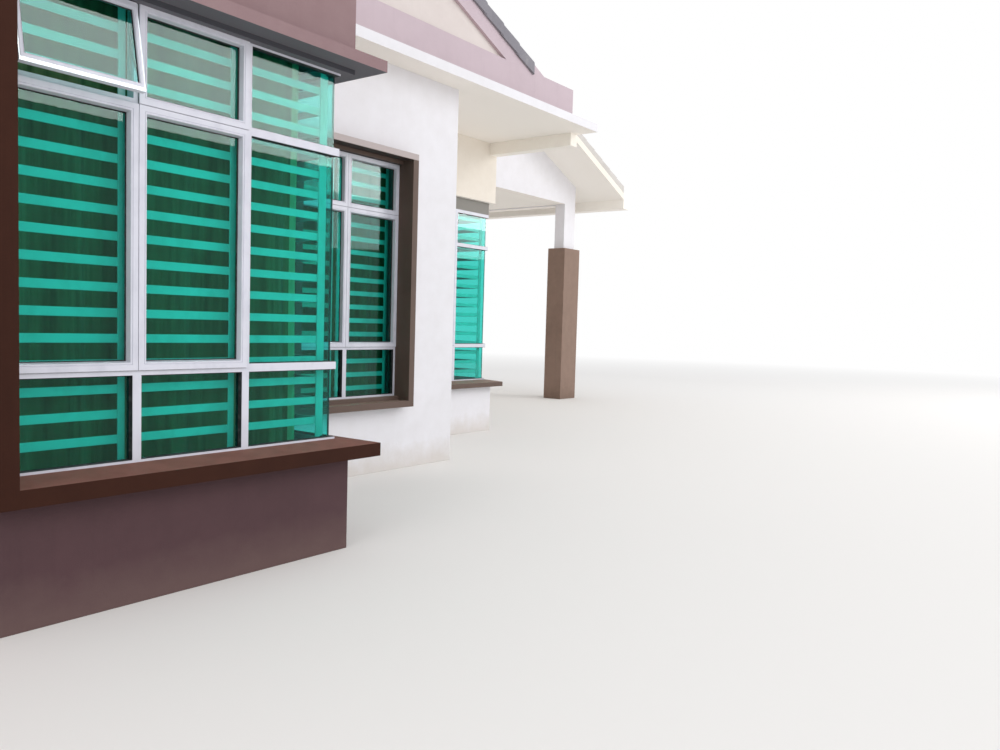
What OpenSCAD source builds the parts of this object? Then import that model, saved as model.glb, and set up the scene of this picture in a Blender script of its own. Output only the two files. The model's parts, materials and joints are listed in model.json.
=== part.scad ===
// Single-storey bungalow with a stepped side, corner windows, gables on concrete slabs and a car porch.
// +X runs along the stepped side from the rear wall to the porch, +Y into the house, +Z up.
// Local plan: X = 0 at the rear wall, Y = 0 at the face of bay one; placed() moves it to the origin.

/* [Plan] */
// Length of bay one along the side
bay_one_w = 5200; // [4600:50:6000]
// Length of the middle wall
mid_bay_w = 3270; // [2800:10:3800]
// Length of bay three
bay_three_w = 2440; // [2000:10:3000]
// Setback of the middle wall behind bay one
mid_setback = 1860; // [1600:10:2200]
// Setback of bay three behind the middle wall
bay_three_setback = 1315; // [1000:5:1600]
// Setback of the porch gable behind bay three
porch_setback = 2220; // [1800:10:2600]
// Depth of the house from bay one to the far wall
house_d = 10950; // [9850:50:12000]
// Reach of the porch beyond the front wall
porch_w = 5710; // [4800:10:6400]

/* [Levels] */
// Height of the inner floor
floor_h = 150; // [100:10:300]
// Underside of bay three's sill
sill_bottom = 636; // [500:1:800]
// Underside of bay one's sill
bay_one_sill_bottom = 611; // [500:1:635]
// Thickness of a sill slab
sill_t = 62; // [50:1:100]
// Underside of the hood and head of bay one's window frame
head_h = 3108; // [2800:1:3200]
// Height of the dark band over bay three's window frame
bay_three_band = 165; // [65:5:315]
// Underside of the wall over bay three's window
bay_three_beam = 3215; // [3180:5:3300]
// Thickness of the hood
hood_t = 72; // [50:1:110]
// Underside of the concrete slabs and top of the walls
wall_h = 4030; // [3700:10:4300]
// Thickness of the concrete slabs
slab_t = 100; // [80:5:150]
// Height of the parapet band above the slab
parapet_h = 410; // [300:10:600]

/* [Walls] */
// Thickness of the plastered walls
wall_t = 150; // [120:5:230]
// Slab overhang beyond the wall face
slab_out = 310; // [200:10:500]
// Distance of the parapet from the slab edge
parapet_in = 240; // [150:10:350]
// Depth of the beam under the end of the slab
canopy_beam_h = 162; // [120:1:250]

/* [Roof] */
// Pitch of every roof in degrees
roof_pitch = 23; // [18:1:28]
// Distance from the parapet's end to the foot of the gable slope
shoulder_w = 675; // [500:5:900]
// Depth to which the gable roofs' coverings are let in below the slope at the gable's shoulders
roof_sink = 142; // [100:2:150]
// Upright thickness of the main roof covering at the upper end of a course
roof_t = 106; // [80:2:150]
// Length of a tile course along the slope
tile_gauge = 340; // [300:5:400]
// Step at the lower edge of a course
course_step = 26; // [15:1:35]
// Overhang of the tiles beyond the gable face
verge_out = 30; // [0:5:60]
// Upright width of the barge band on a gable
barge_h = 330; // [250:10:420]
// Depth of the recess in a gable
panel_recess = 40; // [20:5:60]

/* [Porch] */
// Reach of the porch gutter beyond the column
eave_out = 785; // [600:5:900]
// Overhang of the porch verge beyond its gable
porch_verge_out = 855; // [600:5:1000]
// Upright thickness of the porch's roof covering at the upper end of a course
porch_roof_t = 106; // [80:2:200]
// Upright thickness of the sloping slab below the covering
porch_slab_t = 130; // [80:5:150]
// Top of the covering at its lower edge
eave_top = 4482; // [4400:2:4700]
// Width of the gutter with its back
gutter_w = 240; // [200:5:300]
// Height of the gutter's front
gutter_h = 310; // [160:2:314]
// Underside of the porch beams
beam_bottom = 4060; // [3950:5:4150]
// Width of the porch beams
beam_w = 230; // [200:10:300]
// White column section along X
column_w = 400; // [300:10:500]
// White column section along Y
column_d = 230; // [230:10:400]
// Thickness of the cladding round a column
cladding_t = 90; // [50:5:120]
// Height of the column cladding
cladding_h = 3140; // [2800:10:3300]

/* [Windows and doors] */
// Width of one window column
pane_w = 674; // [600:1:720]
// Number of columns on the long side of bay one's corner window
bay_one_panes = 3; // [2:1:4]
// Number of columns on every shorter side of a corner window
return_panes = 2; // [1:1:2]
// Width of a frame bar
bar_w = 48; // [40:1:60]
// Width of the level frame bars at the head and foot
edge_bar_w = 43; // [30:1:60]
// Depth of a frame bar
bar_d = 60; // [50:1:80]
// Recess of the frame behind the wall face
frame_recess = 63; // [50:1:90]
// Height of the lower transom's centre
lower_transom = 1210; // [1100:5:1400]
// Height of the upper transom's centre
upper_transom = 2580; // [2400:5:2700]
// Thickness of the glass
glass_t = 6; // [5:1:10]
// Silicone joint between the two panes at a corner
butt_gap = 2; // [1:1:4]
// Projection of the sills
sill_out = 125; // [80:5:180]
// Projection of bay one's sill on its return side
sill_side_out = 175; // [80:5:200]
// Rise of a sill's top from its front edge to the window frame
sill_rise = 30; // [10:1:40]
// Drop of the lintel in front of the window frame, below the hood
lintel_drop = 30; // [10:1:34]
// Projection of the hood
hood_out = 146; // [100:1:200]
// Face width of the corner window's jambs
jamb_w = 75; // [50:5:120]
// Lap of a jamb over the front of the window frame
jamb_lap = 11; // [5:1:20]
// Width of a plain window over its surround
surround_w = 1540; // [1400:2:1900]
// Distance of the middle window's surround from the wall corner
surround_side = 763; // [600:1:900]
// Height of the lower transom's centre in a plain window
plain_transom = 1250; // [1100:5:1400]
// Underside of a plain window's surround
surround_bottom = 650; // [500:10:800]
// Top of a plain window's surround
surround_top = 3187; // [3000:1:3400]
// Thickness of a surround's top and foot
surround_t = 62; // [50:1:90]
// Projection of a plain window's surround
surround_out = 140; // [80:5:180]
// Step up from a surround's foot to the lip before the window frame
foot_step = 39; // [26:1:50]
// Step down from a surround's head to the lip before the window frame
head_step = 38; // [30:1:60]
// Lap of a surround's lip over the frame's sides
side_lap = 18; // [10:1:25]
// Lap of a surround's lip over the frame's foot
foot_lap = 24; // [10:1:26]
// Lap of a surround's lip over the frame's head
head_lap = 40; // [10:1:41]
// Tilt of the open top light in degrees
sash_tilt = 11; // [5:1:20]
// Width of the front door
front_door_w = 1800; // [1500:10:2000]
// Width of the rear door
rear_door_w = 900; // [800:10:1000]
// Height of both doors
door_h = 2400; // [2100:10:2600]

/* [Hidden] */

// Plan lines
corner_mid_x = bay_one_w + mid_bay_w;
front_x = corner_mid_x + bay_three_w;
mid_y = mid_setback;
three_y = mid_y + bay_three_setback;
porch_y = three_y + porch_setback;
porch_x = front_x + porch_w;
eave_x = porch_x + eave_out;

// Levels
sill_top = sill_bottom + sill_t;
hood_top = head_h + hood_t;
bay_three_head = bay_three_beam - bay_three_band;
slab_top = wall_h + slab_t;
parapet_top = slab_top + parapet_h;

// Windows
glass_in = frame_recess + (bar_d - glass_t) / 2;
long_w = bay_one_panes * pane_w + glass_in;
return_w = return_panes * pane_w + glass_in;
light_top = head_h - edge_bar_w;
light_bottom = upper_transom + bar_w / 2;
sash_w = pane_w - 3 * bar_w / 2;
sash_h = light_top - light_bottom;
sash_d = 30;
sash_bar = 38;
sash_stile = 24;
plain_half = surround_w / 2 - jamb_w + side_lap;
plain_foot = surround_bottom + surround_t + foot_step - foot_lap;
plain_head = surround_top - surround_t - head_step + head_lap;

// Places of the plain windows and the doors: X, Y and turn of the wall face
middle_spot = [corner_mid_x - surround_side - surround_w / 2, mid_y, 0];
window_side = 1700;
other_spots = [
  [bay_one_w / 2, house_d, 180], [front_x - bay_one_w / 2, house_d, 180],
  [0, mid_y + window_side, -90], [front_x, house_d - window_side, 90]
];
front_door_spot = [front_x, (porch_y + house_d - window_side - surround_w / 2) / 2, 90];
rear_door_spot = [0, house_d - window_side, -90];
leaf_t = 45;
door_frame_w = 60;
leaf_gap = 4;
stop_w = 15;
door_head = floor_h + door_h - door_frame_w;

// Roofs
rise = tan(roof_pitch);
main_mid = (front_x - slab_out) / 2;
main_half = (front_x + slab_out) / 2 - parapet_in;
main_left = main_mid - main_half;
main_right = main_mid + main_half;
main_y = mid_y - slab_out + parapet_in;
far_y = house_d + slab_out - parapet_in;
one_mid = bay_one_w / 2;
one_half = one_mid + slab_out - parapet_in;
one_y = parapet_in - slab_out;
tile_end = 245;
kerb_t = 100;
cap_r = 125;
cap_rise = 84;
course_run = tile_gauge * cos(roof_pitch);
least_run = 190;
cap_facets = 48;
porch_mid = (front_x + porch_x) / 2;
porch_half = eave_x - gutter_w - porch_mid;
gutter_back = 40;
gutter_t = 20;
ceiling_up = 20;
ceiling_t = 25;

// Overshoot of a cut past the face that it opens
over = 1;

// Moves the plan so that the origin is under the middle of the whole outline
module placed() {
  translate([-(eave_x - slab_out) / 2, -(house_d + porch_verge_out - slab_out) / 2, 0]) children();
}

// A box between two corners
module box(low, high) {
  translate(low) cube(high - low);
}

// A profile in X and Z, run along Y
module along_y(y0, y1, outline) {
  translate([0, y1, 0]) rotate([90, 0, 0]) linear_extrude(y1 - y0) polygon(outline);
}

// Puts a wall feature, drawn with its face on Y = 0, at a spot [X, Y, turn]
module at_spot(spot) {
  translate([spot[0], spot[1], 0]) rotate(spot[2]) children();
}

// The hole that a plain window's surround fills
module window_hole() {
  box([-surround_w / 2, -over, surround_bottom], [surround_w / 2, wall_t + over, surround_top]);
}

// The hole that a door and its frame fill
module door_hole(w) {
  box([-w / 2, -over, floor_h], [w / 2, wall_t + over, floor_h + door_h]);
}

// A box surround, open through, with a lip in the wall's depth that laps over the frame behind it
module surround() {
  half = surround_w / 2 - jamb_w;
  foot = surround_bottom + surround_t;
  head = surround_top - surround_t;
  difference() {
    box([-surround_w / 2, -surround_out, surround_bottom], [surround_w / 2, wall_t, surround_top]);
    box([-half, -surround_out - over, foot], [half, 0, head]);
    box([-half, -over, foot + foot_step], [half, frame_recess + over, head - head_step]);
    box([-plain_half, frame_recess, plain_foot], [plain_half, wall_t + over, plain_head]);
  }
}

// Undersides and tops of the four level bars of a frame
function bar_levels(foot, transom, head) = [
  [foot, foot + edge_bar_w],
  [transom - bar_w / 2, transom + bar_w / 2],
  [upper_transom - bar_w / 2, upper_transom + bar_w / 2],
  [head - edge_bar_w, head]
];

// Frame bars of a plain window
module plain_bars() {
  box([-bar_w / 2, frame_recess, plain_foot], [bar_w / 2, frame_recess + bar_d, plain_head]);
  for (x = [-plain_half, plain_half - edge_bar_w])
    box([x, frame_recess, plain_foot], [x + edge_bar_w, frame_recess + bar_d, plain_head]);
  for (level = bar_levels(plain_foot, plain_transom, plain_head))
    box([-plain_half, frame_recess, level[0]], [plain_half, frame_recess + bar_d, level[1]]);
}

// Panes of a plain window, cut by its bars
module plain_panes() {
  difference() {
    box([-plain_half, glass_in, plain_foot], [plain_half, glass_in + glass_t, plain_head]);
    plain_bars();
  }
}

// Bars of a corner window: its wall corner is at the origin, the long side runs to -X, the return to +Y
module corner_bars(side, head) {
  for (level = bar_levels(sill_top, lower_transom, head)) {
    box([-side, frame_recess, level[0]], [-frame_recess, frame_recess + bar_d, level[1]]);
    box([-frame_recess - bar_d, frame_recess, level[0]], [-frame_recess, return_w, level[1]]);
  }
  for (x = [glass_in + pane_w:pane_w:side - pane_w / 2])
    box([-x - bar_w / 2, frame_recess, sill_top], [-x + bar_w / 2, frame_recess + bar_d, head]);
  for (y = [glass_in + pane_w:pane_w:return_w - pane_w / 2])
    box([-frame_recess - bar_d, y - bar_w / 2, sill_top], [-frame_recess, y + bar_w / 2, head]);
  box([-side, frame_recess, sill_top], [-side + bar_w, frame_recess + bar_d, head]);
  box([-frame_recess - bar_d, return_w - bar_w, sill_top], [-frame_recess, return_w, head]);
}

// Panes of a corner window, butted at the corner without a post
module corner_panes(side, head) {
  difference() {
    union() {
      box([-side, glass_in, sill_top], [-glass_in, glass_in + glass_t, head]);
      box([-glass_in - glass_t, glass_in + glass_t + butt_gap, sill_top], [-glass_in, return_w, head]);
    }
    corner_bars(side, head);
  }
}

// Underside of a gable roof's covering at its ridge
function covering_under(half) = parapet_top + (half - shoulder_w) * rise - roof_sink;

// A gable with flat shoulders, a seat cut into its slopes for the covering, and a triangle for its panel
module gable_outline(mid, half) {
  slope = half - shoulder_w;
  seat = slope - tile_end;
  top = parapet_top + tile_end * rise;
  polygon([
    [mid - half, slab_top], [mid + half, slab_top], [mid + half, parapet_top],
    [mid + slope, parapet_top], [mid + seat, top], [mid + seat, top - roof_sink],
    [mid, covering_under(half)],
    [mid - seat, top - roof_sink], [mid - seat, top], [mid - slope, parapet_top],
    [mid - half, parapet_top]
  ]);
}

module panel_outline(mid, half) {
  slope = half - shoulder_w - barge_h / rise;
  polygon([[mid - slope, parapet_top], [mid + slope, parapet_top], [mid, parapet_top + slope * rise]]);
}

module gable_wall(y0, mid, half) {
  translate([0, y0 + wall_t, 0]) rotate([90, 0, 0]) linear_extrude(wall_t) difference() {
    gable_outline(mid, half);
    panel_outline(mid, half);
  }
}

module gable_panel(y0, y1, mid, half) {
  translate([0, y1, 0]) rotate([90, 0, 0]) linear_extrude(y1 - y0) panel_outline(mid, half);
}

// Two slopes of roof covering from the ridge down to reach on each side
module covering(y0, y1, mid, reach_left, reach_right, under, t) {
  low_left = under - reach_left * rise;
  low_right = under - reach_right * rise;
  along_y(y0, y1, [
    [mid - reach_left, low_left], [mid, under], [mid + reach_right, low_right],
    [mid + reach_right, low_right + t], [mid, under + t], [mid - reach_left, low_left + t]
  ]);
}

// Where the course that starts at a distance from the ridge ends
function course_end(distance) = max(distance - course_run, cap_r);

// Top of a slope in stepped courses, from its lower edge up; side is -1 or 1
function courses(mid, side, reach, ridge) = [
  for (d = [reach:-course_run:least_run]) each [
    [mid + side * d, ridge - d * rise + course_step],
    [mid + side * course_end(d), ridge - course_end(d) * rise]
  ]
];

function reversed(list) = [for (i = [len(list) - 1:-1:0]) list[i]];

// A covering whose top is stepped in courses
module tiled_covering(y0, y1, mid, reach_left, reach_right, under, t) {
  along_y(y0, y1, concat(
    [[mid - reach_left, under - reach_left * rise], [mid, under]],
    [[mid + reach_right, under - reach_right * rise]],
    courses(mid, 1, reach_right, under + t),
    [[mid, under + t]],
    reversed(courses(mid, -1, reach_left, under + t))
  ));
}

// Half-round ridge cap over a covering's ridge, hollow below where the slopes fill it
module ridge_cap(y0, y1, mid, top) {
  reach = 2 * cap_r;
  difference() {
    translate([mid, y1, top + cap_rise - cap_r]) rotate([90, 0, 0])
      cylinder(r = cap_r, h = y1 - y0, $fn = cap_facets);
    along_y(y0 - over, y1 + over, [
      [mid - reach, top - reach * rise], [mid, top], [mid + reach, top - reach * rise],
      [mid + reach, top - 2 * reach], [mid - reach, top - 2 * reach]
    ]);
  }
}

// Walls and floor
module floor_slab() {
  t = wall_t;
  color("#b9b4ab") placed() linear_extrude(floor_h) polygon([
    [t, t], [bay_one_w - t, t], [bay_one_w - t, mid_y + t], [corner_mid_x - t, mid_y + t],
    [corner_mid_x - t, three_y + t], [front_x - t, three_y + t], [front_x - t, house_d - t],
    [t, house_d - t]
  ]);
}

// The low wall below a corner window, long along -X and short along +Y
module low_wall(corner, long, short, top) {
  translate(corner) {
    box([-long, 0, 0], [0, wall_t, top]);
    box([-wall_t, wall_t, 0], [0, short, top]);
  }
}

module bay_one_plinth() {
  color("#7a6460") placed() low_wall(
    [bay_one_w, 0, 0], long_w + jamb_w, return_w + jamb_w, bay_one_sill_bottom
  );
}

module bay_one_front_wall() {
  color("#8d7672") placed() box([0, 0, 0], [bay_one_w - long_w - jamb_w, wall_t, wall_h]);
}

module bay_one_side_wall() {
  color("#8d7672") placed() box([bay_one_w - wall_t, return_w + jamb_w, 0], [bay_one_w, mid_y, hood_top]);
}

module bay_one_upper_wall() {
  color("#8d7672") placed() {
    box([bay_one_w - long_w - jamb_w, 0, hood_top], [bay_one_w, wall_t, wall_h]);
    box([bay_one_w - wall_t, wall_t, hood_top], [bay_one_w, mid_y, wall_h]);
  }
}

module middle_wall() {
  color("#e8e6e6") placed() difference() {
    box([bay_one_w - wall_t, mid_y, 0], [corner_mid_x, mid_y + wall_t, wall_h]);
    at_spot(middle_spot) window_hole();
  }
}

module middle_side_wall() {
  color("#e8e6e6") placed()
    box([corner_mid_x - wall_t, mid_y + wall_t, 0], [corner_mid_x, three_y + wall_t, wall_h]);
}

module bay_three_plinth() {
  color("#e8e6e6") placed() low_wall([front_x, three_y, 0], return_w, return_w, sill_bottom);
}

module bay_three_front_wall() {
  color("#e8e6e6") placed()
    box([corner_mid_x, three_y, 0], [front_x - return_w, three_y + wall_t, bay_three_beam]);
}

module bay_three_upper_wall() {
  color("#e6e0d8") placed() {
    box([corner_mid_x, three_y, bay_three_beam], [front_x, three_y + wall_t, wall_h]);
    box([front_x - wall_t, three_y + wall_t, bay_three_beam], [front_x, three_y + return_w, wall_h]);
    translate([front_x, three_y, 0]) {
      box([-return_w, frame_recess, bay_three_head], [-frame_recess, wall_t, bay_three_beam]);
      box([-wall_t, wall_t, bay_three_head], [-frame_recess, return_w, bay_three_beam]);
    }
  }
}

module front_wall() {
  color("#e8e6e6") placed() difference() {
    box([front_x - wall_t, three_y + return_w, 0], [front_x, house_d - wall_t, wall_h]);
    at_spot(other_spots[3]) window_hole();
    at_spot(front_door_spot) door_hole(front_door_w);
  }
}

module far_wall() {
  color("#e8e6e6") placed() difference() {
    box([0, house_d - wall_t, 0], [front_x, house_d, wall_h]);
    at_spot(other_spots[0]) window_hole();
    at_spot(other_spots[1]) window_hole();
  }
}

module rear_wall() {
  color("#e8e6e6") placed() difference() {
    box([0, wall_t, 0], [wall_t, house_d - wall_t, wall_h]);
    at_spot(other_spots[2]) window_hole();
    at_spot(rear_door_spot) door_hole(rear_door_w);
  }
}

// Sill of a corner window: level below the frame and the jambs; in front of the frame its top falls
// to both front edges and meets in a mitre
module sill(long, short, covered, bottom, side) {
  high = sill_top + sill_rise;
  far = long - covered;
  end = short - covered;
  box([-long, -sill_out, bottom], [side, wall_t, sill_top]);
  box([-wall_t, wall_t, bottom], [side, short, sill_top]);
  intersection() {
    translate([0, 0, sill_top]) linear_extrude(sill_rise) polygon([
      [-far, -sill_out], [side, -sill_out], [side, end], [-frame_recess, end],
      [-frame_recess, frame_recess], [-far, frame_recess]
    ]);
    translate([-far, 0, 0]) rotate([90, 0, 90]) linear_extrude(far + side) polygon([
      [-sill_out, sill_top], [end, sill_top], [end, high], [frame_recess, high]
    ]);
    along_y(-sill_out, end, [
      [-far, sill_top], [side, sill_top], [-frame_recess, high], [-far, high]
    ]);
  }
}

module bay_one_sill() {
  color("#6e4137") placed() translate([bay_one_w, 0, 0])
    sill(long_w + jamb_w, return_w + jamb_w, jamb_w + jamb_lap, bay_one_sill_bottom, sill_side_out);
}

module bay_one_hood() {
  lintel = head_h - lintel_drop;
  color("#8d7672") placed() translate([bay_one_w, 0, 0]) {
    box([-long_w - jamb_w, -hood_out, head_h], [hood_out, wall_t, hood_top]);
    box([-wall_t, wall_t, head_h], [hood_out, return_w + jamb_w, hood_top]);
    box([-long_w + jamb_lap, 0, lintel], [0, frame_recess, head_h]);
    box([-frame_recess, frame_recess, lintel], [0, return_w - jamb_lap, head_h]);
  }
}

module bay_one_jambs() {
  color("#5a372c") placed() translate([bay_one_w, 0, 0]) {
    box([-long_w - jamb_w, -sill_out, sill_top], [-long_w, wall_t, head_h]);
    box([-long_w, -sill_out, sill_top], [-long_w + jamb_lap, frame_recess, head_h]);
    box([-wall_t, return_w, sill_top], [sill_out, return_w + jamb_w, head_h]);
    box([-frame_recess, return_w - jamb_lap, sill_top], [sill_out, return_w, head_h]);
  }
}

module bay_three_sill() {
  color("#6e4137") placed() translate([front_x, three_y, 0])
    sill(return_w, return_w, 0, sill_bottom, sill_out);
}

module middle_window_surround() {
  color("#6e4137") placed() at_spot(middle_spot) surround();
}

module other_window_surrounds() {
  color("#6e4137") placed() for (spot = other_spots) at_spot(spot) surround();
}

// Corner windows
module bay_one_window_frame() {
  color("#e9ebec") placed() translate([bay_one_w, 0, 0]) corner_bars(long_w, head_h);
}

// The light at the far end of the top row, which stands open
module open_light() {
  left = -long_w + bar_w;
  box([left, frame_recess, light_bottom], [left + sash_w, frame_recess + bar_d, light_top]);
}

// Puts the open light's own leaf on its top hinge
module on_sash_hinge() {
  translate([-long_w + bar_w, frame_recess, light_top]) rotate([-sash_tilt, 0, 0]) children();
}

module open_sash() {
  color("#e9ebec") placed() translate([bay_one_w, 0, 0]) on_sash_hinge() difference() {
    box([0, -sash_d, -sash_h], [sash_w, 0, 0]);
    box([sash_stile, -sash_d - over, -sash_h + sash_bar], [sash_w - sash_stile, over, -sash_bar]);
  }
}

module bay_one_glass() {
  color("#3fae93", 0.5) placed() translate([bay_one_w, 0, 0]) {
    difference() {
      corner_panes(long_w, head_h);
      open_light();
    }
    on_sash_hinge() box(
      [sash_stile, -(sash_d + glass_t) / 2, -sash_h + sash_bar],
      [sash_w - sash_stile, (glass_t - sash_d) / 2, -sash_bar]
    );
  }
}

module bay_three_window_frame() {
  color("#e9ebec") placed() translate([front_x, three_y, 0]) corner_bars(return_w, bay_three_head);
}

module bay_three_glass() {
  color("#3fae93", 0.5) placed() translate([front_x, three_y, 0]) corner_panes(return_w, bay_three_head);
}

// Plain windows
module middle_window_frame() {
  color("#e9ebec") placed() at_spot(middle_spot) plain_bars();
}

module other_window_frames() {
  color("#e9ebec") placed() for (spot = other_spots) at_spot(spot) plain_bars();
}

module plain_window_glass() {
  color("#3fae93", 0.5) placed()
    for (spot = concat([middle_spot], other_spots)) at_spot(spot) plain_panes();
}

// Doors
module door_leaf(w) {
  box(
    [-w / 2 + door_frame_w + leaf_gap, frame_recess, floor_h + leaf_gap],
    [w / 2 - door_frame_w - leaf_gap, frame_recess + leaf_t, door_head - leaf_gap]
  );
}

// A door frame with a rebate that the leaf closes against
module door_frame(w) {
  half = w / 2 - door_frame_w;
  difference() {
    box([-w / 2, 0, floor_h], [w / 2, wall_t, floor_h + door_h]);
    box([-half, -over, floor_h - over], [half, frame_recess + leaf_t, door_head]);
    box([-half + stop_w, 0, floor_h - over], [half - stop_w, wall_t + over, door_head - stop_w]);
  }
}

module front_door() {
  color("#5b3a26") placed() at_spot(front_door_spot) door_leaf(front_door_w);
}

module rear_door() {
  color("#5b3a26") placed() at_spot(rear_door_spot) door_leaf(rear_door_w);
}

module door_frames() {
  color("#4b2f20") placed() {
    at_spot(front_door_spot) door_frame(front_door_w);
    at_spot(rear_door_spot) door_frame(rear_door_w);
  }
}

// Concrete slabs and what stands on them
module main_slab() {
  color("#eceaea") placed()
    box([-slab_out, mid_y - slab_out, wall_h], [front_x, house_d + slab_out, slab_top]);
}

module bay_one_slab() {
  color("#eceaea") placed()
    box([-slab_out, -slab_out, wall_h], [bay_one_w + slab_out, mid_y - slab_out, slab_top]);
}

module canopy_beam() {
  color("#e6e0d8") placed()
    box([front_x - wall_t, mid_y, wall_h - canopy_beam_h], [front_x, three_y, wall_h]);
}

module main_gable() {
  color("#a99392") placed() gable_wall(main_y, main_mid, main_half);
}

module far_gable() {
  color("#a99392") placed() gable_wall(far_y - wall_t, main_mid, main_half);
}

module bay_one_gable() {
  color("#a99392") placed() gable_wall(one_y, one_mid, one_half);
}

module gable_panels() {
  color("#dcd4ca") placed() {
    gable_panel(main_y + panel_recess, main_y + wall_t, main_mid, main_half);
    gable_panel(far_y - wall_t, far_y - panel_recess, main_mid, main_half);
    gable_panel(one_y + panel_recess, one_y + wall_t, one_mid, one_half);
  }
}

module parapets() {
  color("#a99392") placed() {
    for (x = [main_left, main_right - wall_t])
      box([x, main_y + wall_t, slab_top], [x + wall_t, far_y - wall_t, parapet_top]);
    for (x = [one_mid - one_half, one_mid + one_half - wall_t])
      box([x, one_y + wall_t, slab_top], [x + wall_t, main_y, parapet_top]);
  }
}

// Low walls that carry the lower edges of the tiles beside the gutters
module gutter_kerbs() {
  color("#b9b4ab") placed() {
    for (side = [-1, 1]) {
      kerb(main_mid, side, main_half, main_y + wall_t, far_y - wall_t);
      kerb(one_mid, side, one_half, one_y + wall_t, main_y);
    }
  }
}

module kerb(mid, side, half, y0, y1) {
  outer = half - shoulder_w - tile_end;
  top = parapet_top + tile_end * rise - roof_sink;
  along_y(y0, y1, [
    [mid + side * outer, slab_top], [mid + side * outer, top],
    [mid + side * (outer - kerb_t), top + kerb_t * rise], [mid + side * (outer - kerb_t), slab_top]
  ]);
}

// Tiled roofs
module gable_covering(y0, y1, mid, half) {
  reach = half - shoulder_w - tile_end;
  tiled_covering(y0, y1, mid, reach, reach, covering_under(half), roof_t);
}

module main_roof() {
  color("#57504e") placed() gable_covering(main_y - verge_out, far_y + verge_out, main_mid, main_half);
}

module bay_one_roof() {
  color("#57504e") placed() gable_covering(one_y - verge_out, main_y - verge_out, one_mid, one_half);
}

module ridge_caps() {
  color("#4d4745") placed() {
    ridge_cap(main_y - verge_out, far_y + verge_out, main_mid, covering_under(main_half) + roof_t);
    ridge_cap(one_y - verge_out, main_y - verge_out, one_mid, covering_under(one_half) + roof_t);
    ridge_cap(
      porch_y - porch_verge_out, house_d + porch_verge_out, porch_mid,
      porch_under(0) + porch_slab_t + porch_roof_t
    );
  }
}

// Car porch
module column_spots() {
  for (y = [porch_y, house_d - column_d]) translate([porch_x - column_w, y, 0]) children();
}

module porch_columns() {
  color("#ecebee") placed() column_spots() box([0, 0, cladding_h], [column_w, column_d, beam_bottom]);
}

module column_claddings() {
  color("#6a5042") placed() column_spots()
    box([-cladding_t, -cladding_t, 0], [column_w + cladding_t, column_d + cladding_t, cladding_h]);
}

// Underside of the porch's sloping slab at a distance from the ridge
function porch_under(distance) =
  eave_top - course_step - porch_roof_t - porch_slab_t + (porch_half - distance) * rise;

module porch_gable(y0) {
  post = porch_mid - front_x;
  inner = porch_mid - main_right;
  along_y(y0, y0 + beam_w, [
    [front_x, beam_bottom], [porch_x, beam_bottom], [porch_x, porch_under(post)],
    [porch_mid, porch_under(0)], [main_right, porch_under(inner)], [main_right, slab_top],
    [front_x, slab_top]
  ]);
}

module porch_gables() {
  color("#eceaee") placed() {
    porch_gable(porch_y);
    porch_gable(house_d - beam_w);
  }
}

module porch_front_beam() {
  top = porch_under(porch_mid - front_x);
  color("#eceaee") placed()
    box([porch_x - beam_w, porch_y + beam_w, beam_bottom], [porch_x, house_d - beam_w, top]);
}

module porch_ceiling() {
  under = beam_bottom + ceiling_up;
  color("#dcd4ca") placed()
    box([front_x, porch_y + beam_w, under], [porch_x - beam_w, house_d - beam_w, under + ceiling_t]);
}

module porch_roof_slab() {
  color("#dcd4ca") placed() covering(
    porch_y - porch_verge_out, house_d + porch_verge_out, porch_mid,
    porch_mid - main_right, porch_half, porch_under(0), porch_slab_t
  );
}

module porch_roof() {
  color("#57504e") placed() tiled_covering(
    porch_y - porch_verge_out, house_d + porch_verge_out, porch_mid,
    porch_mid - main_right, porch_half, porch_under(0) + porch_slab_t, porch_roof_t
  );
}

// Box gutter with a tall back against the slab's edge, closed at both ends
module porch_gutter() {
  back = eave_x - gutter_w;
  y0 = porch_y - porch_verge_out;
  y1 = house_d + porch_verge_out;
  color("#dcd4ca") placed() difference() {
    union() {
      box([back, y0, wall_h], [back + gutter_back, y1, eave_top - course_step - porch_roof_t]);
      box([back, y0, wall_h], [eave_x, y1, wall_h + gutter_h]);
    }
    box(
      [back + gutter_back, y0 + gutter_t, wall_h + gutter_t],
      [eave_x - gutter_t, y1 - gutter_t, wall_h + gutter_h + over]
    );
  }
}

floor_slab();
bay_one_plinth();
bay_one_front_wall();
bay_one_side_wall();
bay_one_upper_wall();
middle_wall();
middle_side_wall();
bay_three_plinth();
bay_three_front_wall();
bay_three_upper_wall();
front_wall();
far_wall();
rear_wall();
bay_one_sill();
bay_one_hood();
bay_one_jambs();
bay_three_sill();
middle_window_surround();
other_window_surrounds();
bay_one_window_frame();
bay_one_glass();
open_sash();
bay_three_window_frame();
bay_three_glass();
middle_window_frame();
other_window_frames();
plain_window_glass();
front_door();
rear_door();
door_frames();
main_slab();
bay_one_slab();
canopy_beam();
main_gable();
far_gable();
bay_one_gable();
gable_panels();
parapets();
gutter_kerbs();
main_roof();
bay_one_roof();
ridge_caps();
porch_columns();
column_claddings();
porch_gables();
porch_front_beam();
porch_ceiling();
porch_roof_slab();
porch_roof();
porch_gutter();
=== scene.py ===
import json
import math
import bpy
import numpy as np
from mathutils import Matrix, Vector


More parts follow.
